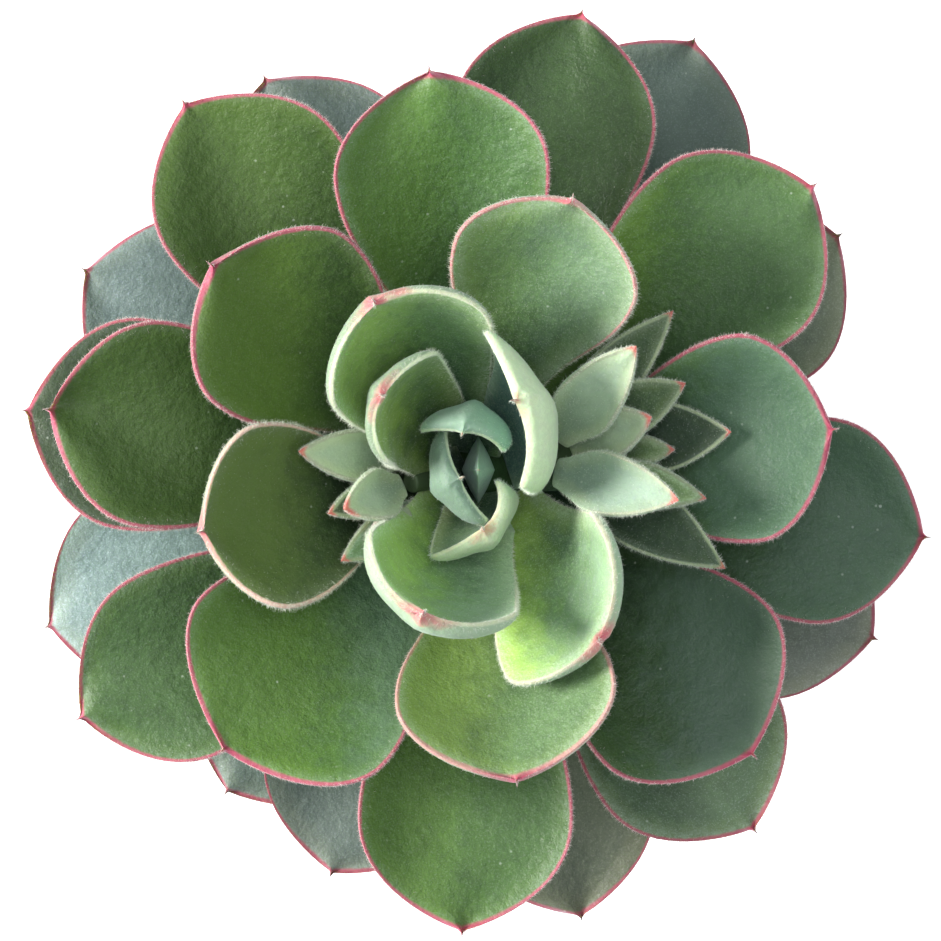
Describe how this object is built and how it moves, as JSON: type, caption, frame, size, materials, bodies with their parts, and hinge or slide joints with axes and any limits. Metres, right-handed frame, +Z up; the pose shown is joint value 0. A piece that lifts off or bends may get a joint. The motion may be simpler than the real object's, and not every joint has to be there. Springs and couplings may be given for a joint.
{
  "type": "potted succulent",
  "caption": "Hairy-leaved succulent rosette with pink leaf edges and side shoots, growing on a short stem in a plain tapered terracotta pot.",
  "frame": {"origin": "middle of the pot's foot, on the surface that the pot stands on", "axes": "+Z up along the stem; +X points to the side of the longer side shoot"},
  "size_m": [0.1301, 0.1326, 0.1385],
  "materials": {
    "terracotta": "matte fired clay",
    "soil": "moist gritty potting soil",
    "stem_bark": "corky bark with leaf scars",
    "leaf_green": "velvety deep green, pink-red edge and pointed pink tip",
    "old_leaf": "duller grey-green, darker pink edge",
    "young_leaf": "velvety pale green with a whitish hairy edge and coral-pink tip",
    "shoot_leaf": "softly hairy, pale at the edges",
    "bud_leaf": "velvety pale green, pink at the tip"
  },
  "bodies": {
    "root": {"pot": "terracotta", "soil": "soil", "main_stem": "stem_bark", "leaf_01": "old_leaf", "leaf_03": "old_leaf", "leaf_04": "old_leaf", "leaf_05": "old_leaf", "leaf_06": "old_leaf", "leaf_07": "old_leaf", "leaf_08": "old_leaf", "leaf_09": "old_leaf", "leaf_10": "old_leaf", "leaf_11": "leaf_green", "leaf_12": "leaf_green", "leaf_13": "leaf_green", "leaf_14": "leaf_green", "leaf_15": "leaf_green", "leaf_16": "leaf_green", "leaf_17": "leaf_green", "leaf_18": "leaf_green", "leaf_19": "leaf_green", "leaf_20": "leaf_green", "leaf_21": "leaf_green", "leaf_22": "leaf_green", "leaf_23": "leaf_green", "leaf_24": "leaf_green", "leaf_25": "leaf_green", "leaf_26": "young_leaf", "leaf_27": "young_leaf", "leaf_28": "young_leaf", "leaf_29": "young_leaf", "leaf_30": "young_leaf", "leaf_31": "young_leaf", "leaf_32": "young_leaf", "leaf_33": "young_leaf", "leaf_34": "young_leaf", "leaf_35": "young_leaf", "right_shoot_stem": "stem_bark", "right_shoot_leaf_1": "shoot_leaf", "right_shoot_leaf_2": "shoot_leaf", "right_shoot_leaf_3": "shoot_leaf", "right_shoot_leaf_4": "shoot_leaf", "right_shoot_leaf_5": "shoot_leaf", "right_shoot_leaf_6": "shoot_leaf", "right_shoot_leaf_7": "shoot_leaf", "right_shoot_leaf_8": "shoot_leaf", "right_shoot_leaf_9": "shoot_leaf", "left_shoot_stem": "stem_bark", "left_shoot_leaf_1": "shoot_leaf", "left_shoot_leaf_2": "shoot_leaf", "left_shoot_leaf_3": "shoot_leaf", "left_shoot_leaf_4": "shoot_leaf", "left_shoot_leaf_5": "shoot_leaf", "heart_bud": "bud_leaf"}
  },
  "joints": []
}
